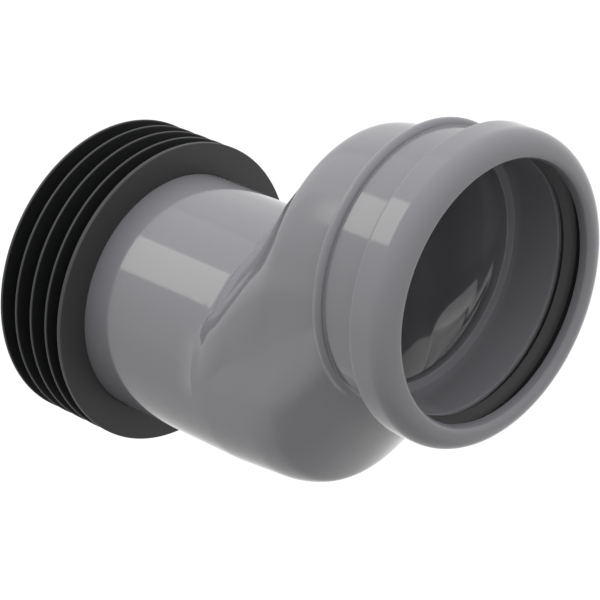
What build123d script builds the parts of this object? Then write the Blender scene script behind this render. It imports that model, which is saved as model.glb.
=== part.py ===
"""Offset toilet pan connector: a grey moulded body with a finned spigot seal and a socket lip seal.

Frame: +X runs along the spigot from the fins to the socket, +Z is up, millimetres.
The origin is on the spigot axis, close behind the front face of the seal's flange.
"""

import os
from math import atan2, cos, exp, sin, sqrt, tan

from build123d import *

# Driving sizes
spigot_r = 45.0
wall = 3.0
pipe_offset = 49.7
pipe_clearance = 0.5
bore_r = spigot_r - wall

# The finned seal on the spigot
sleeve_wall = 2.6
fin_height = 11.65
flange_front_x = 0.6
flange_tip = 1.8
flange_root = 2.6
flange_gap = 8.1
fin_pitch = 8.05
fin_tip = 1.0
fin_root = 2.2
fin_sink = 1.6
fin_count = 4
sleeve_tail = 3.0
sleeve_r = spigot_r + sleeve_wall
fin_r = spigot_r + fin_height
fin_sink_r = sleeve_r - fin_sink
flange_back_x = flange_front_x - flange_tip
first_fin_x = flange_front_x - flange_gap
last_fin_x = first_fin_x - (fin_count - 1) * fin_pitch
sleeve_x0 = last_fin_x - fin_root / 2 - sleeve_tail

# The spigot and the S-shaped offset
tail_margin = 2.25
tail_chamfer = 1.2
bend_x = 59.5
half_run = 33.5
belly_slope = 0.082
belly_ease = 4.0
curl_run = 12.0
belly_curl = 0.0201
dome_drop = 4.95
dome_ease = 5.7
offset_steps = 10
tail_x = sleeve_x0 - tail_margin
centre_x = bend_x + half_run
curl_x = centre_x - curl_run

# The flat sides of the offset and their rounded upper corner
flat_inset = 0.4
flat_corner_r = 8.4
corner_swell = 6.2
swell_run = 7.5
flat_lead = 4.9
crease_steps = 400
bend_clearance = 0.2
flat_half = spigot_r - flat_inset
bend_r = bore_r + bend_clearance

# The socket, from its bead to its rolled rim
bead_back = 5.9
bead_r = 2.2
floor_step = 1.2
floor_land = 3.3
socket_length = 19.0
collar_length = 15.9
collar_edge_r = 1.1
collar_wall = 4.3
groove_depth = 5.1
groove_inset = 2.0
lip_depth = 2.9
lip_rise = 2.1
lip_r = 2.6
lip_wall = 1.8
socket_r = spigot_r + pipe_clearance
socket_out_r = socket_r + wall
groove_r = socket_r + groove_depth
collar_r = groove_r + collar_wall
rim_r = collar_r - socket_r - lip_rise
bead_x = centre_x + half_run - bead_back
socket_floor_x = bead_x + floor_step
collar_x = bead_x + socket_length
rim_front_x = collar_x + collar_length
groove_x0 = collar_x + groove_inset
groove_x1 = rim_front_x - lip_depth - lip_wall

# The lip ring in the socket
ring_gap = 0.3
ring_back = 2.2
ring_front = 1.8
heel_rise = 0.6
land_inset = 1.8
land_length = 2.8
lip_slope_run = 2.2
lip_slope_rise = 1.2
undercut_run = 0.2
undercut_rise = 1.4
neck_run = 1.0
land_r = spigot_r
land_x0 = groove_x0 + land_inset
land_x1 = land_x0 + land_length
ring_back_r = groove_r - ring_back
ring_front_r = groove_r - ring_front


def belly(x):
    """Height of the lower circle along the rising half."""
    d = x - bend_x
    return belly_slope * d**2 / (d + belly_ease) + belly_curl * max(x - curl_x, 0) ** 2


def dome(t):
    """Height of the upper circle at a share of the falling half."""
    return pipe_offset - dome_drop * exp(-t * half_run / dome_ease)


riser_angle = atan2(pipe_offset - dome_drop, half_run)
riser_shift = wall * (1 - cos(riser_angle)) / sin(riser_angle)
socket_axis = Axis((0, 0, pipe_offset), (1, 0, 0))
spigot_axis = Axis((0, 0, 0), (1, 0, 0))
climb = tan(riser_angle)
flat_dz = sqrt(spigot_r**2 - flat_half**2)
corner_dz = flat_lead * climb
corner_steps = [0.25, 0.5, 0.75]


def corner_y(dz, r):
    """Half width of a rounded corner at a height over the rising pipe's axis."""
    back = (dz - corner_dz) / climb
    return flat_half - r + sqrt(max(r**2 - back**2, 0))


def crease_height(r):
    """Height over the rising pipe's axis where a corner sinks into the pipe."""
    rise = r * climb
    heights = [corner_dz + n * rise / crease_steps for n in range(crease_steps // 8, crease_steps)]
    sunk = [dz for dz in heights if corner_y(dz, r) <= sqrt(spigot_r**2 - dz**2)]
    return min(sunk, default=heights[-1])


def corner(d):
    """Half widths and heights of the corner at a distance from its bend, up to the crease."""
    r = flat_corner_r + corner_swell * exp(-d / swell_run)
    top = crease_height(r)
    heights = [corner_dz + t * (top - corner_dz) for t in corner_steps]
    return [(corner_y(dz, r), dz) for dz in heights] + [(sqrt(spigot_r**2 - top**2), top)]


# Stations along the offset: x, height of the lower circle, height of the upper circle
corner_rise = belly(centre_x)
fall = (pipe_offset - corner_rise) / half_run
steps = [n / offset_steps for n in range(offset_steps + 1)]
rising = [(bend_x + t * half_run, belly(bend_x + t * half_run), t * half_run * climb) for t in steps]
falling = [(centre_x + t * half_run, corner_rise + t * half_run * fall, dome(t)) for t in steps]

# Stations of the waterway, drawn in by the wall
in_start_x = bend_x + riser_shift
in_low_x = centre_x - riser_shift
in_high_x = centre_x + riser_shift
in_end_x = socket_floor_x - floor_land
in_run = in_low_x - in_start_x
in_fall = (pipe_offset - corner_rise) / (in_end_x - in_low_x)
in_reach = (in_run + riser_shift) / half_run
in_rising = [(in_start_x, -bend_clearance / 2, bend_clearance)]
in_falling = []
for t in steps[1:]:
    x = in_start_x + t * in_run
    in_rising.append((x, belly(bend_x + (x - bend_x) / in_reach), (x - in_start_x) * climb))
for t in steps[:-1]:
    x = in_high_x + t * (in_end_x - in_high_x)
    in_falling.append((x, corner_rise + (x - in_low_x) * in_fall, dome(t)))
in_falling.append((in_end_x, pipe_offset - bend_clearance, pipe_offset + bend_clearance / 2))
in_middle = [in_rising[-1], in_falling[0]]

# Waterway through the body
with BuildPart() as waterway:
    with BuildSketch(Plane.YZ.offset(tail_x - 1)):
        Circle(bore_r)
    extrude(amount=in_start_x - tail_x + 1)
    for stations in (in_rising, in_middle, in_falling):
        for x, low, high in stations:
            with BuildSketch(Plane.YZ.offset(x)):
                with BuildLine():
                    ThreePointArc((-bend_r, low), (0, low - bend_r), (bend_r, low))
                    Line((bend_r, low), (bend_r, high))
                    ThreePointArc((bend_r, high), (0, high + bend_r), (-bend_r, high))
                    Line((-bend_r, high), (-bend_r, low))
                make_face()
        loft()
    # Socket bore, seal groove and mouth
    with BuildSketch(Plane.XZ):
        with BuildLine():
            Polyline(
                (in_end_x, pipe_offset),
                (in_end_x, pipe_offset + bore_r),
                (socket_floor_x, pipe_offset + bore_r),
                (socket_floor_x, pipe_offset + socket_r),
                (groove_x0, pipe_offset + socket_r),
                (groove_x0, pipe_offset + groove_r),
                (groove_x1, pipe_offset + groove_r),
                (groove_x1, pipe_offset + socket_r),
                (rim_front_x + 5, pipe_offset + socket_r),
                (rim_front_x + 5, pipe_offset),
                close=True,
            )
        make_face()
    revolve(axis=socket_axis)

# Body
with BuildPart() as connector_body:
    # Spigot
    with BuildSketch(Plane.YZ.offset(tail_x)):
        Circle(spigot_r)
    extrude(amount=bend_x - tail_x)
    chamfer(edges().sort_by(Axis.X)[0], tail_chamfer)
    # Rising half of the offset
    for x, low, high in rising:
        round_end = corner(x - bend_x)
        crease_y, crease_dz = round_end[-1]
        with BuildSketch(Plane.YZ.offset(x)):
            with BuildLine():
                ThreePointArc((-flat_half, low + flat_dz), (0, low - spigot_r), (flat_half, low + flat_dz))
                for side in (1, -1):
                    Line((side * flat_half, low + flat_dz), (side * flat_half, high + corner_dz))
                    Spline(
                        (side * flat_half, high + corner_dz),
                        *[(side * y, high + dz) for y, dz in round_end],
                    )
                ThreePointArc(
                    (crease_y, high + crease_dz), (0, high + spigot_r), (-crease_y, high + crease_dz)
                )
            make_face()
    loft()
    # The other half, turned about the middle
    for x, low, high in falling:
        round_end = corner(centre_x + half_run - x)
        crease_y, crease_dz = round_end[-1]
        with BuildSketch(Plane.YZ.offset(x)):
            with BuildLine():
                ThreePointArc((-crease_y, low - crease_dz), (0, low - spigot_r), (crease_y, low - crease_dz))
                for side in (1, -1):
                    Spline(
                        (side * flat_half, low - corner_dz),
                        *[(side * y, low - dz) for y, dz in round_end],
                    )
                    Line((side * flat_half, low - corner_dz), (side * flat_half, high - flat_dz))
                ThreePointArc(
                    (flat_half, high - flat_dz), (0, high + spigot_r), (-flat_half, high - flat_dz)
                )
            make_face()
    loft()
    # Socket with its bead, collar and rolled rim
    with BuildSketch(Plane.XZ):
        with BuildLine():
            Polyline(
                (rim_front_x - lip_depth, pipe_offset + socket_r),
                (rim_front_x - lip_depth, pipe_offset),
                (bead_x - bead_r, pipe_offset),
                (bead_x - bead_r, pipe_offset + socket_out_r),
            )
            ThreePointArc(
                (bead_x - bead_r, pipe_offset + socket_out_r),
                (bead_x, pipe_offset + socket_out_r + bead_r),
                (bead_x + bead_r, pipe_offset + socket_out_r),
            )
            Polyline(
                (bead_x + bead_r, pipe_offset + socket_out_r),
                (collar_x, pipe_offset + socket_out_r),
                (collar_x, pipe_offset + collar_r - collar_edge_r),
            )
            RadiusArc(
                (collar_x, pipe_offset + collar_r - collar_edge_r),
                (collar_x + collar_edge_r, pipe_offset + collar_r),
                collar_edge_r,
            )
            Line(
                (collar_x + collar_edge_r, pipe_offset + collar_r),
                (rim_front_x - rim_r, pipe_offset + collar_r),
            )
            RadiusArc(
                (rim_front_x - rim_r, pipe_offset + collar_r),
                (rim_front_x, pipe_offset + collar_r - rim_r),
                rim_r,
            )
            RadiusArc(
                (rim_front_x, pipe_offset + collar_r - rim_r),
                (rim_front_x - lip_depth, pipe_offset + socket_r),
                lip_r,
            )
        make_face()
    revolve(axis=socket_axis)
    add(waterway.part, mode=Mode.SUBTRACT)

# Finned seal
with BuildPart() as spigot_seal:
    with BuildSketch(Plane.XZ):
        with BuildLine():
            Polyline(
                (sleeve_x0, spigot_r),
                (flange_front_x, spigot_r),
                (flange_front_x, sleeve_r),
                (sleeve_x0, sleeve_r),
                close=True,
            )
        make_face()
        with BuildLine():
            Polyline(
                (flange_front_x - flange_root, fin_sink_r),
                (flange_front_x, fin_sink_r),
                (flange_front_x, fin_r),
                (flange_back_x, fin_r),
                close=True,
            )
        make_face()
        for n in range(fin_count):
            fin_x = first_fin_x - n * fin_pitch
            with BuildLine():
                Polyline(
                    (fin_x - fin_root / 2, fin_sink_r),
                    (fin_x + fin_root / 2, fin_sink_r),
                    (fin_x + fin_tip / 2, fin_r),
                    (fin_x - fin_tip / 2, fin_r),
                    close=True,
                )
            make_face()
    revolve(axis=spigot_axis)

# Lip ring
with BuildPart() as socket_seal:
    with BuildSketch(Plane.XZ):
        with BuildLine():
            Polyline(
                (groove_x0 + ring_gap, pipe_offset + groove_r),
                (groove_x1 - ring_gap, pipe_offset + groove_r),
                (groove_x1 - ring_gap, pipe_offset + ring_front_r),
                (groove_x1 - lip_slope_run, pipe_offset + land_r + lip_slope_rise),
                (land_x1, pipe_offset + land_r),
                (land_x0, pipe_offset + land_r),
                (land_x0 + undercut_run, pipe_offset + land_r + undercut_rise),
                (land_x0 + neck_run, pipe_offset + ring_back_r),
                (groove_x0 + ring_gap, pipe_offset + ring_back_r + heel_rise),
                close=True,
            )
        make_face()
    revolve(axis=socket_axis)

connector_body.part.label = "connector_body"
spigot_seal.part.label = "spigot_seal"
socket_seal.part.label = "socket_seal"

os.makedirs("parts", exist_ok=True)
export_step(connector_body.part, "parts/connector_body.step")
export_step(spigot_seal.part, "parts/spigot_seal.step")
export_step(socket_seal.part, "parts/socket_seal.step")
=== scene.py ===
"""Looks of an offset pan connector: a grey moulded pipe bend with two black rubber seals.

Shapes are worked out in millimetres in the part's own frame: +X from the fins to the socket, +Z up.
"""

from math import atan2, cos, pi, radians, sin, tan

import bpy
import numpy as np
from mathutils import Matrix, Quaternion, Vector


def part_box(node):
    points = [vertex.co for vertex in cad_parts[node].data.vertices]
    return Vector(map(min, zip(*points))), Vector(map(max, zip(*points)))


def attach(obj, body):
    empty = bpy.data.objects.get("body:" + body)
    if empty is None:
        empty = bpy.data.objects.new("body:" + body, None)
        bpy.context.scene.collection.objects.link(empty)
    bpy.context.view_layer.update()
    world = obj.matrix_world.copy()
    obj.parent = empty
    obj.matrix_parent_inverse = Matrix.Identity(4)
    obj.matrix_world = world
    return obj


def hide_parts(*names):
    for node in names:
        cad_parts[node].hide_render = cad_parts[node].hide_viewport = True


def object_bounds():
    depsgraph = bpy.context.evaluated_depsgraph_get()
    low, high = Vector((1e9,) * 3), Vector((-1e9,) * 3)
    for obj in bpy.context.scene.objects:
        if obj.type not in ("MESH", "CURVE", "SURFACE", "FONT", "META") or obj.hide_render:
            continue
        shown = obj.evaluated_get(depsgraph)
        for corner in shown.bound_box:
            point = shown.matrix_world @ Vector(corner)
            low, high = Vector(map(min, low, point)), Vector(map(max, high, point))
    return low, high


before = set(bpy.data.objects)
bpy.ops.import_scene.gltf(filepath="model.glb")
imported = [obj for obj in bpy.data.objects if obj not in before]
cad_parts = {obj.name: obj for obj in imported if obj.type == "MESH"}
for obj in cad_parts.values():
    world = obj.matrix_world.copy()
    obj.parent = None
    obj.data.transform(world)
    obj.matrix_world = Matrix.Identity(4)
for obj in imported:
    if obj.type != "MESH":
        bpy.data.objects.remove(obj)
CAD_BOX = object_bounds()

bl_info = {
    "name": "Pan connector",
    "version": (1, 0, 0),
    "blender": (4, 5, 0),
    "location": "View3D > Sidebar > Connector",
    "description": "Builds a moulded pan connector with its seals around a packed part",
    "category": "Object",
}

MM = 0.001
BODY_LOW, BODY_HIGH = (np.array(corner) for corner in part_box("connector_body"))
FINS_LOW, FINS_HIGH = (np.array(corner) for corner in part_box("spigot_seal"))
RING_LOW, RING_HIGH = (np.array(corner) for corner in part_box("socket_seal"))
COLLAR_R = BODY_HIGH[1]
# Points round each ring of the body and the seals
ANGLES = 304
# Radial play in millimetres that keeps a seal's skin off the body's
SKIN_GAP = 0.02


def length(name, description, default):
    """A length in the scene's own unit, metres."""
    return bpy.props.FloatProperty(
        name=name, description=description, default=default, min=0, subtype="DISTANCE", unit="LENGTH"
    )


def turned(name, description, default):
    """An angle, given in degrees."""
    return bpy.props.FloatProperty(
        name=name, description=description, default=radians(default), subtype="ANGLE"
    )


def level(name, description, default):
    """A brightness, where one is white."""
    return bpy.props.FloatProperty(name=name, description=description, default=default, min=0)


def colour(name, description, default):
    """A colour that is written as sRGB hex."""
    return bpy.props.StringProperty(name=name, description=description, default=default)


class BodySizes(bpy.types.PropertyGroup):
    """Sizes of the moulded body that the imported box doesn't give."""

    wall: length("Wall", "Thickness of the pipe's wall", 3.0 * MM)
    bend_x: length("Bend", "Where the spigot ends and the pipe rises", 59.5 * MM)
    half_run: length("Half run", "Length of the rising half of the offset", 33.5 * MM)
    dome_drop: length("Dome drop", "How far the rising pipe stops below the dome's end", 6.0 * MM)
    dome_lift: length("Dome lift", "How far above the socket's axis the dome ends, at the bead", 0.5 * MM)
    dome_ease: length("Dome ease", "How quickly the rising pipe turns into the dome", 2.74 * MM)
    belly_ease: length("Belly ease", "How slowly the underside starts to rise", 1.0 * MM)
    curl_run: length("Curl run", "How far before the middle the underside curls up", 12.0 * MM)
    flat_inset: length("Panel inset", "How far the side panels lie inside the spigot's radius", 1.1 * MM)
    inset_run: length("Inset run", "How quickly that inset dies away towards the middle", 11.0 * MM)
    side_inset: length("Side inset", "How much narrower the pipe is beyond a side panel's edge", 0.8 * MM)
    front_shift: length(
        "Front shift", "How far the falling half lies ahead of the rising half's mirror image", 1.4 * MM
    )
    panel_lead: length("Panel lead", "How far the side panel reaches above the rising pipe's axis", 8.2 * MM)
    panel_swell: length("Panel swell", "How much further it reaches next to the spigot", 8.0 * MM)
    swell_run: length("Swell run", "How quickly that swell dies away", 5.0 * MM)
    panel_gap: length("Panel gap", "From the bend to the flat of the side panel", 5.4 * MM)
    panel_edge: length("Panel edge", "Radius of the side panel's rounded edge", 8.5 * MM)
    panel_turn: length("Panel turn", "Rounding where a side panel's edge turns level", 4.0 * MM)
    turn_soft: length("Turn", "Rounding of the turn under the middle of the offset", 1.5 * MM)
    bead_x: length("Bead", "Middle of the round bead behind the socket", 120.6 * MM)
    bead_r: length("Bead radius", "Radius of the bead's section", 2.2 * MM)
    collar_x: length("Collar", "Back edge of the thick collar", 139.6 * MM)
    rim_r: length("Rim", "Radius of the rolled rim", 7.3 * MM)
    lip_depth: length("Lip", "How far the mouth's lip rolls inwards", 2.9 * MM)
    socket_clearance: length("Socket clearance", "Radial play of the pipe in the socket", 0.5 * MM)
    groove_depth: length("Groove", "Depth of the seal's groove", 5.1 * MM)
    floor_x: length("Socket floor", "Where the pipe stops in the socket", 121.8 * MM)
    floor_land: length("Floor land", "Straight run behind the socket's floor", 3.3 * MM)
    floor_round: length("Floor rounding", "Radius of the socket floor's two edges", 0.2 * MM)
    waist: length("Waist", "How much narrower the passage is at its waist", 3.0 * MM)
    waist_x: length("Waist place", "Where the passage is narrowest", 98.0 * MM)
    waist_run: length("Waist run", "How far the narrowing reaches", 17.0 * MM)


class SealSizes(bpy.types.PropertyGroup):
    """Sizes of the two rubber seals."""

    sleeve_wall: length("Sleeve wall", "Thickness of the sleeve under the fins", 2.6 * MM)
    fin_pitch: length("Fin pitch", "Spacing of the fins", 8.05 * MM)
    flange_gap: length("Flange gap", "From the flange's front face to the first fin", 8.1 * MM)
    fin_root: length("Fin root", "Thickness of a fin where it leaves the sleeve", 2.2 * MM)
    fin_tip: length("Fin tip", "Thickness of a fin at its edge", 1.0 * MM)
    flange_root: length("Flange root", "Thickness of the flange at the sleeve", 2.6 * MM)
    flange_tip: length("Flange tip", "Thickness of the flange at its edge", 1.8 * MM)
    land_inset: length("Land inset", "From the groove's back wall to the sealing lip", 1.8 * MM)
    land_length: length("Land", "Length of the sealing lip", 2.8 * MM)


class Finish(bpy.types.PropertyGroup):
    """Colours of the two materials."""

    body: colour("Body", "Grey of the moulded body", "#8E8D92")
    # The rubber's own dark grey, and below it the black that is painted shade for the gaps between the fins
    rubber: colour("Rubber", "Dark grey of the seals where they are rubbed", "#3A3A3A")
    painted_gap_shade: colour("Sheltered", "Black between the fins", "#222423")


class StageSizes(bpy.types.PropertyGroup):
    """Camera and studio."""

    azimuth: turned("Azimuth", "Camera's turn about +Z from +X", -45.129)
    elevation: turned("Elevation", "Camera's height over the horizon", 25.111)
    lens: bpy.props.FloatProperty(
        name="Lens", description="Focal length in millimetres", default=176.44, unit="CAMERA"
    )
    distance: length("Distance", "From the camera to the point that it looks at", 1077.0 * MM)
    target: bpy.props.FloatVectorProperty(
        name="Target",
        description="Point that the camera looks at",
        default=(0.0319, 0.0320, -0.0033),
        subtype="XYZ",
    )
    floor_drop: length("Floor drop", "From the part's lowest point to the floor", 300.0 * MM)
    horizon: level("Horizon", "Brightness of the room's walls for diffuse light", 0.5)
    overhead: level("Overhead", "How much brighter the room is overhead", 0.64)
    overhead_curve: level("Overhead curve", "How much of that is gained near the top", 0.12)
    lamp_distance: length("Lamp distance", "From the lamps to the part", 4000.0 * MM)
    key_azimuth: turned("Key azimuth", "Direction of the key softbox", -142.3)
    key_elevation: turned("Key elevation", "Height of the key softbox", 37.2)
    key_width: turned("Key width", "Angle that its long side fills", 25.6)
    key_height: turned("Key height", "Angle that its short side fills", 13.8)
    key_roll: turned("Key roll", "Turn of the key softbox about its own axis", -50.4)
    key_radiance: level("Key radiance", "Brightness of the key softbox's face", 2.8)
    panel_elevation: turned("Panel elevation", "Height of the two dimmer panels", 40.0)
    panel_width: turned("Panel width", "Angle that a panel fills sideways", 31.8)
    panel_height: turned("Panel height", "Angle that a panel fills upwards", 52.0)
    back_azimuth: turned("Back azimuth", "Direction of the panel behind the part", 182.7)
    back_radiance: level("Back radiance", "Brightness of the back panel's face", 0.36)
    side_azimuth: turned("Side azimuth", "Direction of the panel at the far side", 135.0)
    side_radiance: level("Side radiance", "Brightness of the side panel's face", 0.1)


# Helpers for shapes


def arc(centre, radius, start, end, count):
    """Points of a circle's arc from one angle to another, in degrees, as (x, r) pairs."""
    turn = np.radians(np.linspace(start, end, count))
    return np.column_stack([centre[0] + radius * np.cos(turn), centre[1] + radius * np.sin(turn)])


def run(start, end, radius, count):
    """Points of a straight run along x at one radius, as (x, r) pairs."""
    return np.column_stack([np.linspace(start, end, count), np.full(count, radius)])


def ring_angles(count):
    """Angles round a ring, closer together where the offset's valley runs, the same on both sides.

    Their density goes as 1 + crowding * exp(-((angle - valley) / spread)^2), with angles in degrees.
    """
    valley = 38
    spread = 14
    crowding = 1.6
    samples = 1441
    fine = np.radians(np.linspace(-90, 90, samples))
    weight = 1 + crowding * np.exp(-(((np.degrees(fine) - valley) / spread) ** 2))
    share = np.concatenate([[0], np.cumsum((weight[1:] + weight[:-1]) / 2)])
    half = np.interp(np.linspace(0, share[-1], count // 2 + 1), share, fine)
    return np.concatenate([half, pi - half[-2:0:-1]])


def smooth(t):
    """Smooth step from zero to one over t from zero to one."""
    t = np.clip(t, 0, 1)
    return t**2 * (3 - 2 * t)


def skin_radius(inside, middle, turn, nearest=10.0, furthest=130.0, halvings=40):
    """Radius of a section along rays from its middle: halves the span until the section's edge is found.

    inside(y, z) is a distance that is negative within the section. The span is in millimetres.
    """
    near = np.full((len(middle), len(turn)), nearest)
    far = np.full_like(near, furthest)
    for _ in range(halvings):
        r = (near + far) / 2
        within = inside(r * np.cos(turn), middle[:, None] + r * np.sin(turn)) < 0
        near = np.where(within, r, near)
        far = np.where(within, far, r)
    return (near + far) / 2


def grid_object(name, x, middle, radius, turn):
    """A closed tube of rings: ring i lies at x[i], about height middle[i], at radius[i] along each angle.

    The last ring joins the first, so the skin has an outside and an inside with no open edge.
    """
    rings, count = radius.shape
    points = np.empty((rings, count, 3))
    points[..., 0] = x[:, None]
    points[..., 1] = radius * np.cos(turn)
    points[..., 2] = middle[:, None] + radius * np.sin(turn)
    i, j = np.meshgrid(np.arange(rings), np.arange(count), indexing="ij")
    i2 = (i + 1) % rings
    j2 = (j + 1) % count
    corners = [i * count + j2, i2 * count + j2, i2 * count + j, i * count + j]
    faces = np.stack(corners, axis=-1)
    return mesh_object(name, points.reshape(-1, 3) * MM, faces.reshape(-1, 4))


def mesh_object(name, points, faces):
    """A smooth-shaded mesh of quads at the origin."""
    mesh = bpy.data.meshes.new(name)
    mesh.vertices.add(len(points))
    mesh.vertices.foreach_set("co", points.astype(np.float32).ravel())
    mesh.loops.add(faces.size)
    mesh.loops.foreach_set("vertex_index", faces.astype(np.int32).ravel())
    mesh.polygons.add(len(faces))
    mesh.polygons.foreach_set("loop_start", np.arange(0, faces.size, faces.shape[1], dtype=np.int32))
    mesh.polygons.foreach_set("use_smooth", np.ones(len(faces), dtype=bool))
    mesh.update(calc_edges=True)
    mesh.validate()
    piece = bpy.data.objects.new(name, mesh)
    bpy.context.scene.collection.objects.link(piece)
    return piece


def place(piece, node, material):
    """The piece stands for its node, rides with it and takes its finish."""
    piece.data.materials.append(material)
    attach(piece, "root")
    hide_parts(node)


# Helpers for materials


def linear(hex_colour):
    """Linear colour of an sRGB hex value."""
    srgb = np.array([int(hex_colour[n : n + 2], 16) for n in (1, 3, 5)]) / 255
    low = srgb / 12.92
    high = ((srgb + 0.055) / 1.055) ** 2.4
    return (*np.where(srgb <= 0.04045, low, high).tolist(), 1.0)


def shaded(hex_colour, factor):
    """Linear colour of an sRGB hex value, made lighter or darker by a factor."""
    red, green, blue, alpha = linear(hex_colour)
    return (factor * red, factor * green, factor * blue, alpha)


def add_node(tree, kind, links=None, values=None, **settings):
    """Adds a node with its settings, socket values and links from other nodes' outputs."""
    node = tree.nodes.new(kind)
    for key, value in settings.items():
        setattr(node, key, value)
    for socket, value in (values or {}).items():
        node.inputs[socket].default_value = value
    for socket, output in (links or {}).items():
        tree.links.new(output, node.inputs[socket])
    return node


def new_material(name):
    """An empty node material."""
    material = bpy.data.materials.new(name)
    material.use_nodes = True
    material.node_tree.nodes.clear()
    return material


def per_mm(size):
    """Texture scale at which one cell is that many millimetres wide, on coordinates in metres."""
    return 1 / (size * MM)


def polypropylene():
    """Injection-moulded grey polypropylene: a polished mould leaves it glossy, with faint flow shades."""
    finish = bpy.context.scene.connector_finish
    flow_width = 40
    flow_shade = 0.015
    # The mould's polishing marks are too fine to show, so they are drawn this many millimetres wide
    mark_width = 1.2
    material = new_material("moulded_polypropylene")
    tree = material.node_tree
    place_on = add_node(tree, "ShaderNodeTexCoord").outputs["Object"]
    flow = add_node(
        tree,
        "ShaderNodeTexNoise",
        {"Vector": place_on},
        {"Scale": per_mm(flow_width), "Detail": 2.0, "Roughness": 0.5},
    )
    shade = add_node(
        tree,
        "ShaderNodeMix",
        {0: flow.outputs["Fac"]},
        {6: shaded(finish.body, 1 - flow_shade), 7: shaded(finish.body, 1 + flow_shade)},
        data_type="RGBA",
    )
    marks = add_node(
        tree,
        "ShaderNodeTexNoise",
        {"Vector": place_on},
        {"Scale": per_mm(mark_width), "Detail": 3.0, "Roughness": 0.6},
    )
    gloss = add_node(
        tree, "ShaderNodeMapRange", {"Value": marks.outputs["Fac"]}, {"To Min": 0.08, "To Max": 0.11}
    )
    bump = add_node(
        tree, "ShaderNodeBump", {"Height": marks.outputs["Fac"]}, {"Strength": 0.02, "Distance": 0.05 * MM}
    )
    shader = add_node(
        tree,
        "ShaderNodeBsdfPrincipled",
        {
            "Base Color": shade.outputs[2],
            "Roughness": gloss.outputs["Result"],
            "Normal": bump.outputs["Normal"],
        },
        {"IOR": 1.5},
    )
    add_node(tree, "ShaderNodeOutputMaterial", {"Surface": shader.outputs["BSDF"]})
    return material


def rubber():
    """Moulded black rubber: dark grey on its face and edges, with painted shade that makes it dull black
    between the fins.

    Both seals share it.
    """
    name = "moulded_rubber"
    if name in bpy.data.materials:
        return bpy.data.materials[name]
    finish = bpy.context.scene.connector_finish
    bloom_width = 18
    bloom_shade = 0.1
    # Moulded rubber's grain is too fine to show, so it is drawn this many millimetres wide
    grain_width = 0.8
    # The painted shade between the fins begins between these two depths, below the flange's face and below
    # the fins' edges
    face_depths = (2 * MM, 3 * MM)
    edge_depths = (0.2 * MM, 0.5 * MM)
    material = new_material(name)
    tree = material.node_tree
    place_on = add_node(tree, "ShaderNodeTexCoord").outputs["Object"]
    grain = add_node(
        tree,
        "ShaderNodeTexNoise",
        {"Vector": place_on},
        {"Scale": per_mm(grain_width), "Detail": 4.0, "Roughness": 0.6},
    )
    bloom = add_node(
        tree,
        "ShaderNodeTexNoise",
        {"Vector": place_on},
        {"Scale": per_mm(bloom_width), "Detail": 3.0, "Roughness": 0.55},
    )
    unshaded = add_node(
        tree,
        "ShaderNodeMix",
        {0: bloom.outputs["Fac"]},
        {6: shaded(finish.rubber, 1 - bloom_shade), 7: shaded(finish.rubber, 1 + bloom_shade)},
        data_type="RGBA",
    )
    # Painted shade between the fins: behind the flange's face, and short of the fins' edges
    axes = add_node(tree, "ShaderNodeSeparateXYZ", {0: place_on})
    behind = add_node(
        tree,
        "ShaderNodeMapRange",
        {"Value": axes.outputs["X"]},
        {
            "From Min": FINS_HIGH[0] - face_depths[1],
            "From Max": FINS_HIGH[0] - face_depths[0],
            "To Min": 1.0,
            "To Max": 0.0,
        },
    )
    across = add_node(tree, "ShaderNodeVectorMath", {0: place_on}, {1: (0, 1, 1)}, operation="MULTIPLY")
    radius = add_node(tree, "ShaderNodeVectorMath", {0: across.outputs[0]}, operation="LENGTH")
    short = add_node(
        tree,
        "ShaderNodeMapRange",
        {"Value": radius.outputs["Value"]},
        {
            "From Min": FINS_HIGH[1] - edge_depths[1],
            "From Max": FINS_HIGH[1] - edge_depths[0],
            "To Min": 1.0,
            "To Max": 0.0,
        },
    )
    between = add_node(
        tree,
        "ShaderNodeMath",
        {0: behind.outputs["Result"], 1: short.outputs["Result"]},
        operation="MULTIPLY",
    )
    # Painted shade: the colour turns to black between the fins
    shade = add_node(
        tree,
        "ShaderNodeMix",
        {0: between.outputs[0], 6: unshaded.outputs[2]},
        {7: linear(finish.painted_gap_shade)},
        data_type="RGBA",
    )
    # Painted shade: less specular between the fins, so the gaps reflect less
    shine = add_node(
        tree, "ShaderNodeMapRange", {"Value": between.outputs[0]}, {"To Min": 0.5, "To Max": 0.15}
    )
    gloss = add_node(
        tree, "ShaderNodeMapRange", {"Value": grain.outputs["Fac"]}, {"To Min": 0.48, "To Max": 0.6}
    )
    bump = add_node(
        tree, "ShaderNodeBump", {"Height": grain.outputs["Fac"]}, {"Strength": 0.05, "Distance": 0.05 * MM}
    )
    shader = add_node(
        tree,
        "ShaderNodeBsdfPrincipled",
        {
            "Base Color": shade.outputs[2],
            "Roughness": gloss.outputs["Result"],
            "Normal": bump.outputs["Normal"],
            "Specular IOR Level": shine.outputs["Result"],
        },
        {"IOR": 1.5},
    )
    add_node(tree, "ShaderNodeOutputMaterial", {"Surface": shader.outputs["BSDF"]})
    return material


# The body's shape


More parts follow.
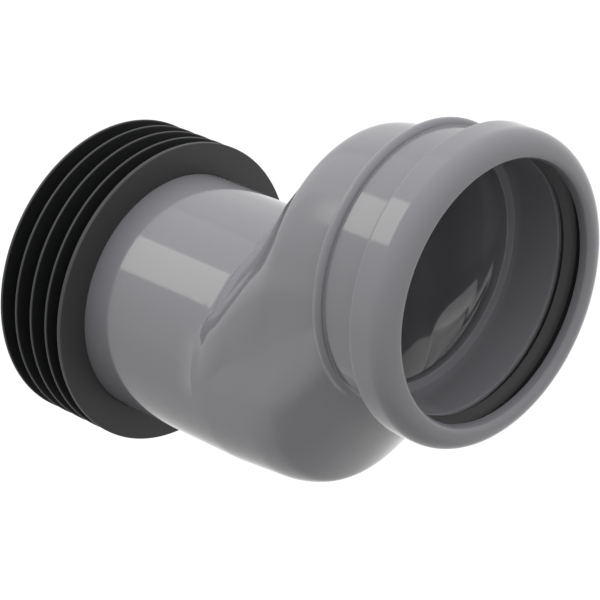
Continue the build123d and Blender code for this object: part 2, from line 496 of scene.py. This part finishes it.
class Moulding:
    """The body's sizes in millimetres, and its S-shaped offset.

    The offset is a lower and an upper circle that move with x, joined by flat side panels.
    """

    # Slopes of the underside and of the dome, and the curl's height for each square millimetre
    belly_slope = 0.082
    dome_slope = 0.11
    curl_gain = 0.016
    # Rounding of the rising pipe's start, and of the join between circles and panels
    bend_soft = 0.5
    join = 2.0
    # Where a panel's inset starts to die away, how much an end counts beside an edge, and how fast the
    # panel drops away past its rounding
    inset_start = 1.5
    end_share = 0.6
    drop = 10
    # Narrowing of a circle's sides: the length over which it comes, the length over which it goes, and how
    # far before the bend it has gone
    narrow_run = 15
    widen_run = 12
    widen_end = 6
    # Edges of the spigot's end: the inner one is broken, the outer one sloped
    tail_edge = 0.3
    chamfer = 1.2
    # Edges of the collar's step and of the groove's back wall, and how far in their middle point lies
    step_edge = 0.15
    nick = 0.05

    def __init__(self):
        sizes = bpy.context.scene.connector_body
        for key in BodySizes.__annotations__:
            setattr(self, key, getattr(sizes, key) / MM)
        self.spigot_r = -BODY_LOW[2] / MM
        self.collar_r = COLLAR_R / MM
        self.axis_z = (BODY_HIGH[2] - COLLAR_R) / MM
        self.tail_x = BODY_LOW[0] / MM
        self.rim_x = BODY_HIGH[0] / MM
        self.bore_r = self.spigot_r - self.wall
        self.socket_r = self.spigot_r + self.socket_clearance
        self.socket_out_r = self.socket_r + self.wall
        self.groove_r = self.socket_r + self.groove_depth
        self.centre_x = self.bend_x + self.half_run
        self.end_x = self.centre_x + self.half_run
        self.climb = (self.axis_z + self.dome_lift - self.dome_drop) / self.half_run
        self.belly_top = self.belly(self.centre_x)
        self.dome_end = self.bead_x - self.bead_r

    def belly(self, x):
        """Height of the lower circle on the rising half: an eased slope, plus a curl.

        The slope is d^2 / (d + ease), and the curl goes as the square of the distance past its start.
        """
        d = np.maximum(x - self.bend_x, 0)
        curl = np.maximum(x - self.centre_x + self.curl_run, 0)
        return self.belly_slope * d**2 / (d + self.belly_ease) + self.curl_gain * curl**2

    def low(self, x):
        """Height of the lower circle: the belly, a soft turn, then a straight rise to the socket's axis."""
        past = self.axis_z - self.climb * (self.end_x + self.front_shift - x)
        belly = self.belly(x)
        higher = (belly + past + np.sqrt((belly - past) ** 2 + self.turn_soft**2)) / 2
        return np.minimum(higher, self.axis_z)

    def high(self, x):
        """Height of the upper circle: a straight rise, then a dome that it nears exponentially.

        The dome slopes up slightly to its end under the bead.
        """
        d = x - self.bend_x
        rise = self.climb * (d + np.sqrt(d**2 + self.bend_soft**2)) / 2
        run_up = self.dome_end - self.centre_x
        turn = (self.dome_drop - self.dome_slope * run_up) * np.exp(-(x - self.centre_x) / self.dome_ease)
        dome = self.axis_z + self.dome_lift - self.dome_slope * (self.dome_end - x) - turn
        return np.where(x < self.centre_x, rise, dome)

    def middle(self, x):
        """Height halfway between the two circles."""
        return (self.low(x) + self.high(x)) / 2

    def panel_top(self, x):
        """Height of a side panel's upper edge: beside the rising pipe, then level, with a soft turn.

        It swells next to the spigot, and its level stretch is the belly turned half round.
        """
        d = x - self.bend_x
        beside = self.climb * d + self.panel_lead
        beside = beside + self.panel_swell * np.exp(-np.maximum(d, 0) / self.swell_run)
        along = self.axis_z - self.belly(2 * self.centre_x - x)
        return (beside + along - np.hypot(beside - along, self.panel_turn)) / 2

    def panel_lean(self, x):
        """Length of a side panel's upper edge for each millimetre of x."""
        step = 0.5
        return np.hypot(1, (self.panel_top(x + step) - self.panel_top(x - step)) / (2 * step))

    def outside(self, x):
        """Distance to the skin of a section: the two circles and the flat side panels, with a soft join.

        A panel is flat between its edges and its ends, and falls away beyond them on a circle's arc.
        Turned half round about the offset's middle, it is the same again.
        """
        column = x[:, None]
        mirror = 2 * self.centre_x - column
        low, high = self.low(column), self.high(column)
        top, foot = self.panel_top(column), self.axis_z - self.panel_top(mirror)
        top_lean, foot_lean = self.panel_lean(column), self.panel_lean(mirror)
        start, end = self.bend_x + self.panel_gap, self.end_x - self.panel_gap
        ends = np.maximum(np.maximum(start - column, column - end), 0)
        fading = (np.maximum(v - start - self.inset_start, 0) for v in (column, mirror))
        inset = sum(np.exp(-far / self.inset_run) for far in fading)
        half = self.spigot_r - self.flat_inset * inset - self.panel_edge

        def narrowed(far):
            """Stretch of a circle's width: none near the offset's middle and near its bend."""
            narrowing = smooth((far - self.centre_x) / self.narrow_run)
            widening = smooth((self.end_x - self.widen_end - far) / self.widen_run)
            return self.spigot_r / (self.spigot_r - self.side_inset * (narrowing * widening))

        narrow_low, narrow_high = narrowed(column), narrowed(mirror)

        def distance(y, z):
            lower = np.hypot(y * narrow_low, z - low)
            upper = np.hypot(y * narrow_high, z - high)
            circles = np.minimum(lower, upper) - self.spigot_r
            beyond = np.maximum(np.maximum((z - top) / top_lean, (foot - z) / foot_lean), 0)
            away = np.hypot(beyond, self.end_share * ends)
            arc_in = np.sqrt(np.maximum(self.panel_edge**2 - away**2, 0))
            flat = np.abs(y) - half - arc_in + self.drop * np.maximum(away - self.panel_edge, 0)
            return (circles + flat - np.hypot(circles - flat, self.join)) / 2

        return distance


def offset_rings(p, turn):
    """Rings of the outside from the spigot to the bead: x, height of the middle, radius along each angle.

    They lie close together round the bend and the offset's middle, where the skin turns sharply.
    """
    straight = np.linspace(p.tail_x + p.chamfer + 0.3, p.bend_x - 4.5, 14)
    x = np.concatenate(
        [
            straight,
            np.linspace(p.bend_x - 4, p.bend_x - 0.6, 9),
            np.linspace(p.bend_x - 0.4, p.bend_x + 0.4, 7),
            np.linspace(p.bend_x + 0.8, p.centre_x - 0.6, 62),
            p.centre_x + np.array([-0.3, -0.1, 0.1, 0.3]),
            np.linspace(p.centre_x + 0.8, p.dome_end - 0.3, 30),
        ]
    )
    middle = p.middle(x)
    radius = skin_radius(p.outside(x), middle, turn)
    # The spigot itself is a plain cylinder
    middle[: len(straight)] = 0
    radius[: len(straight)] = p.spigot_r
    return x, middle, radius


def socket_rings(p, turn):
    """Rings of the bead and the socket's outside, each joined with the end of the offset under it.

    A section is whichever of the two reaches further.
    """
    profile = np.concatenate(
        [
            [(p.dome_end - 0.1, p.spigot_r)],
            arc((p.bead_x, p.socket_out_r), p.bead_r, 180, 0, 13),
            run(p.bead_x + p.bead_r + 0.1, p.end_x, p.socket_out_r, 9),
            run(p.end_x + 1, p.collar_x - 0.5, p.socket_out_r, 6),
            [(p.collar_x - p.step_edge, p.socket_out_r)],
        ]
    )
    x = profile[:, 0]
    socket = profile[:, 1][:, None]
    offset = p.outside(x)

    def either(y, z):
        return np.minimum(np.hypot(y, z - p.axis_z) - socket, offset(y, z))

    return x, p.middle(x), skin_radius(either, p.middle(x), turn)


def mouth_profile(p):
    """The socket from its collar round the mouth to its floor, as (x, r) points about the socket's axis.

    The collar steps up with a rounded edge, the rim is a quarter circle and the lip a quarter ellipse.
    Behind the seal's groove, a straight bore runs to the floor and its two small roundings.
    """
    collar_edge = 1.1
    groove_edge = 0.3
    groove_corner = 0.2
    # Walls of the groove: in front up to the lip, and behind from the collar's back edge
    front_wall = 1.8
    back_wall = 2.0
    collar = np.concatenate(
        [
            [(p.collar_x - p.nick, p.socket_out_r + p.step_edge)],
            [(p.collar_x, p.collar_r - collar_edge - 0.2)],
            arc((p.collar_x + collar_edge, p.collar_r - collar_edge), collar_edge, 180, 90, 6),
            run(p.collar_x + 2, p.rim_x - p.rim_r - 0.4, p.collar_r, 5),
        ]
    )
    rim = arc((p.rim_x - p.rim_r, p.collar_r - p.rim_r), p.rim_r, 90, 0, 26)
    lip_x = p.rim_x - p.lip_depth
    lip_rise = p.collar_r - p.rim_r - p.socket_r
    lip_turn = np.radians(np.linspace(0, 90, 9))[1:]
    lip_along = lip_x + p.lip_depth * np.cos(lip_turn)
    lip_out = p.socket_r + lip_rise * (1 - np.sin(lip_turn))
    lip = np.column_stack([lip_along, lip_out])
    front = lip_x - front_wall
    back = p.collar_x + back_wall
    groove = np.array(
        [
            (front + groove_edge, p.socket_r),
            (front + 2 * p.nick, p.socket_r + p.nick),
            (front, p.socket_r + groove_edge),
            (front, p.groove_r - groove_corner),
            (front - groove_corner, p.groove_r),
            (back + groove_corner, p.groove_r),
            (back, p.groove_r - groove_corner),
            (back, p.socket_r + p.step_edge),
            (back - p.nick, p.socket_r + p.nick),
            (back - p.step_edge, p.socket_r),
        ]
    )
    bore = run(back - 1.5, p.floor_x + 2.0, p.socket_r, 9)
    turned_in = arc((p.floor_x + p.floor_round, p.socket_r - p.floor_round), p.floor_round, 90, 180, 9)
    turned_out = arc((p.floor_x - p.floor_round, p.bore_r + p.floor_round), p.floor_round, 0, -90, 9)
    return np.concatenate([collar, rim, lip, groove, bore, turned_in, turned_out])


def passage_rings(p, turn):
    """Rings of the waterway from the socket's floor back to the spigot: x, height of the middle, radius.

    A section is a circle drawn out between two heights. They follow the outside, shifted along x by what a
    wall takes up at a bend, and the passage narrows to a waist as exp(-(distance / run)^2).
    """
    waist_fade = 6
    mouth_x = p.floor_x - p.floor_land
    shift = p.wall * tan(atan2(p.climb, 1) / 2)
    x = np.concatenate(
        [
            np.linspace(mouth_x, p.centre_x + shift, 22),
            np.linspace(p.centre_x + shift - 0.5, p.centre_x - shift + 0.5, 5),
            np.linspace(p.centre_x - shift, p.bend_x + shift, 26),
        ]
    )
    climb = (p.axis_z - p.belly_top) / (mouth_x - p.centre_x + shift)
    low = np.where(
        x > p.centre_x - shift,
        p.belly_top + climb * (x - p.centre_x + shift),
        p.belly(p.bend_x + (x - p.bend_x - shift) * p.half_run / (p.half_run - 2 * shift)),
    )
    rise = p.climb * (x - p.bend_x - shift)
    ease = np.exp(-np.maximum(x - p.centre_x - shift, 0) / (2 * p.dome_ease))
    dome = p.axis_z - (p.dome_drop - p.dome_lift) * ease
    high = np.where(x > p.centre_x + shift, dome, np.minimum(rise, dome))
    waist = p.waist * np.exp(-(((x - p.waist_x) / p.waist_run) ** 2))
    # The waist ends before the socket's floor
    waist = waist * np.clip((mouth_x - x) / waist_fade, 0, 1)
    low = low + waist
    high = np.maximum(low, high)
    bore = (p.bore_r - waist)[:, None]

    def passage(y, z):
        return np.hypot(y, z - np.clip(z, low[:, None], high[:, None])) - bore

    middle = (low + high) / 2
    return x, middle, skin_radius(passage, middle, turn)


class CONNECTOR_OT_body(bpy.types.Operator):
    """Builds the moulded body as one closed skin, from the spigot's end to the mouth and back inside"""

    bl_idname = "connector.body"
    bl_label = "Body"

    def execute(self, context):
        p = Moulding()
        turn = ring_angles(ANGLES)

        def round_rings(profile, axis_z):
            """Rings of an (x, r) profile about a line along X."""
            radius = np.repeat(profile[:, 1][:, None], len(turn), axis=1)
            return profile[:, 0], np.full(len(profile), axis_z), radius

        tail = np.array(
            [
                (p.tail_x, p.bore_r + p.tail_edge),
                (p.tail_x, p.spigot_r - p.chamfer),
                (p.tail_x + p.chamfer, p.spigot_r),
            ]
        )
        passage = passage_rings(p, turn)
        bore = np.concatenate(
            [
                run(passage[0][-1] - 1, p.tail_x + 2 * p.tail_edge, p.bore_r, 12),
                [(p.tail_x + p.tail_edge, p.bore_r)],
            ]
        )
        stretches = [
            round_rings(tail, 0.0),
            offset_rings(p, turn),
            socket_rings(p, turn),
            round_rings(mouth_profile(p), p.axis_z),
            passage,
            round_rings(bore, 0.0),
        ]
        x, middle, radius = (np.concatenate(parts) for parts in zip(*stretches))
        piece = grid_object("moulded_body", x, middle, radius, turn)
        place(piece, "connector_body", polypropylene())
        return {"FINISHED"}


# The seals


def rounded(points, radius, steps=4, most=0.45):
    """A closed outline with each corner replaced by a short curve of about that radius.

    The curve is (1-t)^2 start + 2t(1-t) corner + t^2 end, and takes at most that share of each side.
    """
    points = np.asarray(points, float)
    before = np.roll(points, 1, axis=0) - points
    after = np.roll(points, -1, axis=0) - points
    span_before = np.linalg.norm(before, axis=1, keepdims=True)
    span_after = np.linalg.norm(after, axis=1, keepdims=True)
    start = points + before / span_before * np.minimum(radius, most * span_before)
    end = points + after / span_after * np.minimum(radius, most * span_after)
    t = np.linspace(0, 1, steps + 1)[None, :, None]
    curve = (1 - t) ** 2 * start[:, None] + 2 * t * (1 - t) * points[:, None] + t**2 * end[:, None]
    return curve.reshape(-1, 2)


def revolved(name, outline, axis_z):
    """A ring: an outline of (x, r) points turned about a line along X at height axis_z."""
    turn = np.linspace(0, 2 * pi, ANGLES, endpoint=False)
    radius = np.repeat(outline[:, 1][:, None], len(turn), axis=1)
    return grid_object(name, outline[:, 0], np.full(len(outline), axis_z), radius, turn)


class CONNECTOR_OT_spigot_seal(bpy.types.Operator):
    """Builds the finned seal: a sleeve with a flange and thin fins, turned about the spigot's axis"""

    bl_idname = "connector.spigot_seal"
    bl_label = "Finned seal"

    def execute(self, context):
        s = context.scene.connector_seals
        front, back = FINS_HIGH[0] / MM, FINS_LOW[0] / MM
        fin_r = FINS_HIGH[1] / MM
        inner_r = -BODY_LOW[2] / MM + SKIN_GAP
        sleeve_r = inner_r + s.sleeve_wall / MM
        first = front - s.flange_gap / MM
        count = int(round((first - back) / (s.fin_pitch / MM)))
        root, tip = s.fin_root / MM / 2, s.fin_tip / MM / 2
        edge = 0.3
        outline = [(back, inner_r), (back, sleeve_r)]
        for n in reversed(range(count)):
            middle = first - n * s.fin_pitch / MM
            outline += [
                (middle - root, sleeve_r),
                (middle - tip, fin_r),
                (middle + tip, fin_r),
                (middle + root, sleeve_r),
            ]
        outline += [
            (front - s.flange_root / MM, sleeve_r),
            (front - s.flange_tip / MM, fin_r),
            (front, fin_r),
            (front, inner_r),
        ]
        piece = revolved("finned_seal", rounded(outline, edge), 0)
        place(piece, "spigot_seal", rubber())
        return {"FINISHED"}


class CONNECTOR_OT_socket_seal(bpy.types.Operator):
    """Builds the lip ring in the socket's groove, turned about the socket's axis"""

    bl_idname = "connector.socket_seal"
    bl_label = "Lip ring"

    def execute(self, context):
        s = context.scene.connector_seals
        body = context.scene.connector_body
        axis_z = (BODY_HIGH[2] - COLLAR_R) / MM
        groove_r = RING_HIGH[1] / MM - SKIN_GAP
        back, front = RING_LOW[0] / MM, RING_HIGH[0] / MM
        land_r = groove_r - (body.groove_depth + body.socket_clearance) / MM + SKIN_GAP
        groove_play = 0.3
        land_x0 = back - groove_play + s.land_inset / MM
        land_x1 = land_x0 + s.land_length / MM
        foot = 0.5
        back_wall = 0.5
        edge = 0.25
        # Along x: the wall behind the front slot, which leans, then the lip's root and its blunt tip
        wall_top, wall_foot = front - 2.9, front - 3.1
        root, tip_back, tip_front = land_x0 + 1.5, land_x0 + 0.4, land_x0 + 0.7
        # Outwards: the slots in front of the lip and behind it, its heel, its tip and the back wall
        front_slot_r, back_slot_r = land_r + 3.2, land_r + 3.4
        heel_r, tip_r, wall_r = land_r + 1.8, land_r + 0.3, land_r + 1.4
        # A foot in front, a slot, the slanted lip with its tip on the land, a slot and a back wall
        outline = [
            (back, groove_r),
            (front, groove_r),
            (front, groove_r - foot),
            (wall_top, groove_r - foot),
            (wall_foot, front_slot_r),
            (land_x1, heel_r),
            (tip_front, land_r),
            (tip_back, tip_r),
            (root, back_slot_r),
            (back + back_wall, back_slot_r),
            (back + back_wall, wall_r),
            (back, wall_r),
        ]
        piece = revolved("lip_ring", rounded(outline, edge), axis_z)
        place(piece, "socket_seal", rubber())
        return {"FINISHED"}


# The stage


def heading(azimuth, elevation):
    """Unit vector at an azimuth from +X and an elevation, both in radians."""
    return Vector((cos(azimuth) * cos(elevation), sin(azimuth) * cos(elevation), sin(elevation)))


def softbox(name, azimuth, elevation, size, radiance, target, roll=0.0, tint=(1, 1, 1)):
    """A rectangular lamp that faces the part and fills the given angles, with an even brightness."""
    distance = bpy.context.scene.connector_stage.lamp_distance
    lamp = bpy.data.lights.new(name, "AREA")
    lamp.shape = "RECTANGLE"
    lamp.size, lamp.size_y = (2 * distance * tan(angle / 2) for angle in size)
    lamp.energy = radiance * pi * lamp.size * lamp.size_y
    lamp.color = tint
    holder = bpy.data.objects.new(name, lamp)
    away = heading(azimuth, elevation)
    holder.location = Vector(target) + away * distance
    holder.rotation_euler = (away.to_track_quat("Z", "Y") @ Quaternion((0, 0, 1), roll)).to_euler()
    bpy.context.scene.collection.objects.link(holder)


def seen_rays(tree):
    """One for rays from the camera, a glossy bounce or a clear surface, and zero for the others."""
    path = add_node(tree, "ShaderNodeLightPath")
    seen = add_node(
        tree,
        "ShaderNodeMath",
        {0: path.outputs["Is Camera Ray"], 1: path.outputs["Is Glossy Ray"]},
        operation="MAXIMUM",
    )
    seen = add_node(
        tree,
        "ShaderNodeMath",
        {0: seen.outputs[0], 1: path.outputs["Is Transmission Ray"]},
        operation="MAXIMUM",
    )
    return seen.outputs[0]


def set_camera(scene, sizes):
    """A camera that looks at the target from an azimuth, an elevation and a distance."""
    back = heading(sizes.azimuth, sizes.elevation)
    camera = bpy.data.cameras.new("camera")
    camera.lens = sizes.lens
    camera.clip_end = 100
    holder = bpy.data.objects.new("camera", camera)
    holder.location = Vector(sizes.target) + back * sizes.distance
    holder.rotation_euler = back.to_track_quat("Z", "Y").to_euler()
    scene.collection.objects.link(holder)
    scene.camera = holder


def white_room(sizes):
    """A world that is plain white to look at, and brighter overhead for rays that carry diffuse light.

    Its brightness for those is horizon + overhead * z + overhead_curve * z^2, at a direction's height z.
    """
    world = bpy.data.worlds.new("white_room")
    world.use_nodes = True
    # It isn't sampled as a lamp is, so that each kind of ray meets the brightness that is meant for it
    world.cycles.sampling_method = "NONE"
    tree = world.node_tree
    tree.nodes.clear()
    direction = add_node(tree, "ShaderNodeTexCoord").outputs["Generated"]
    height = add_node(tree, "ShaderNodeSeparateXYZ", {0: direction}).outputs["Z"]
    slope = add_node(
        tree,
        "ShaderNodeMath",
        {0: height},
        {1: sizes.overhead_curve, 2: sizes.overhead},
        operation="MULTIPLY_ADD",
    )
    diffuse = add_node(
        tree,
        "ShaderNodeMath",
        {0: slope.outputs[0], 1: height},
        {2: sizes.horizon},
        operation="MULTIPLY_ADD",
    )
    light = add_node(
        tree, "ShaderNodeMix", {0: seen_rays(tree), 2: diffuse.outputs[0]}, {3: 1.0}, data_type="FLOAT"
    )
    background = add_node(
        tree, "ShaderNodeBackground", {"Strength": light.outputs[0]}, {"Color": linear("#FFFFFF")}
    )
    add_node(tree, "ShaderNodeOutputWorld", {"Surface": background.outputs[0]})
    return world


def white_paper(below):
    """Matt paper, grey in itself, with a white glow for the camera and for reflections.

    The glow fades under the part, a painted shadow where its shadow would lie, which also darkens the floor
    in the part's reflections.
    """
    # Painted shadow: near the point under the part the glow is dimmed to fade_level, and it is full again
    # past the second distance
    fade_from, fade_to = 200 * MM, 420 * MM
    fade_level = 0.72
    material = new_material("white_paper")
    tree = material.node_tree
    paper = add_node(tree, "ShaderNodeBsdfDiffuse", values={"Color": linear("#767676")})
    place_on = add_node(tree, "ShaderNodeTexCoord").outputs["Object"]
    apart = add_node(tree, "ShaderNodeVectorMath", {0: place_on}, {1: below}, operation="DISTANCE")
    fade = add_node(
        tree,
        "ShaderNodeMapRange",
        {"Value": apart.outputs["Value"]},
        {"From Min": fade_from, "From Max": fade_to, "To Min": fade_level, "To Max": 1.0},
        interpolation_type="SMOOTHSTEP",
    )
    strength = add_node(
        tree, "ShaderNodeMath", {0: fade.outputs["Result"], 1: seen_rays(tree)}, operation="MULTIPLY"
    )
    glow = add_node(
        tree, "ShaderNodeEmission", {"Strength": strength.outputs[0]}, {"Color": linear("#EEEEEE")}
    )
    both = add_node(tree, "ShaderNodeAddShader", {0: paper.outputs[0], 1: glow.outputs[0]})
    add_node(tree, "ShaderNodeOutputMaterial", {"Surface": both.outputs[0]})
    return material


class CONNECTOR_OT_stage(bpy.types.Operator):
    """Sets the camera, the lamps, the white surroundings and a floor below the part"""

    bl_idname = "connector.stage"
    bl_label = "Stage"

    def execute(self, context):
        s = context.scene.connector_stage
        scene = context.scene
        scene.view_settings.view_transform = "Standard"
        set_camera(scene, s)
        scene.world = white_room(s)

        target = Vector(s.target)
        key_tint = (1, 1, 0.92)
        softbox(
            "key_softbox",
            s.key_azimuth,
            s.key_elevation,
            (s.key_width, s.key_height),
            s.key_radiance,
            target,
            s.key_roll,
            key_tint,
        )
        panel_size = (s.panel_width, s.panel_height)
        softbox("back_panel", s.back_azimuth, s.panel_elevation, panel_size, s.back_radiance, target)
        softbox("side_panel", s.side_azimuth, s.panel_elevation, panel_size, s.side_radiance, target)

        half = 4000 * MM
        z = CAD_BOX[0].z - s.floor_drop
        corners = np.array([(-half, -half, z), (half, -half, z), (half, half, z), (-half, half, z)])
        floor = mesh_object("floor", corners, np.array([[0, 1, 2, 3]]))
        below = (CAD_BOX[0] + CAD_BOX[1]) / 2
        floor.data.materials.append(white_paper((below.x, below.y, z)))
        return {"FINISHED"}


class CONNECTOR_PT_panel(bpy.types.Panel):
    """Lists the pieces in the sidebar"""

    bl_idname = "CONNECTOR_PT_panel"
    bl_label = "Pan connector"
    bl_space_type = "VIEW_3D"
    bl_region_type = "UI"
    bl_category = "Connector"

    def draw(self, context):
        for operator in OPERATORS:
            self.layout.operator(operator.bl_idname)
        for group in GROUPS:
            settings = getattr(context.scene, group)
            for key in GROUPS[group].__annotations__:
                self.layout.prop(settings, key)


GROUPS = {
    "connector_body": BodySizes,
    "connector_seals": SealSizes,
    "connector_finish": Finish,
    "connector_stage": StageSizes,
}
OPERATORS = [CONNECTOR_OT_body, CONNECTOR_OT_spigot_seal, CONNECTOR_OT_socket_seal, CONNECTOR_OT_stage]


def register():
    for cls in [*GROUPS.values(), *OPERATORS, CONNECTOR_PT_panel]:
        bpy.utils.register_class(cls)
    for name, group in GROUPS.items():
        setattr(bpy.types.Scene, name, bpy.props.PointerProperty(type=group))


def unregister():
    for name in GROUPS:
        delattr(bpy.types.Scene, name)
    for cls in reversed([*GROUPS.values(), *OPERATORS, CONNECTOR_PT_panel]):
        bpy.utils.unregister_class(cls)


def main():
    register()
    bpy.ops.connector.body()
    bpy.ops.connector.spigot_seal()
    bpy.ops.connector.socket_seal()
    bpy.ops.connector.stage()


if __name__ == "__main__":
    main()
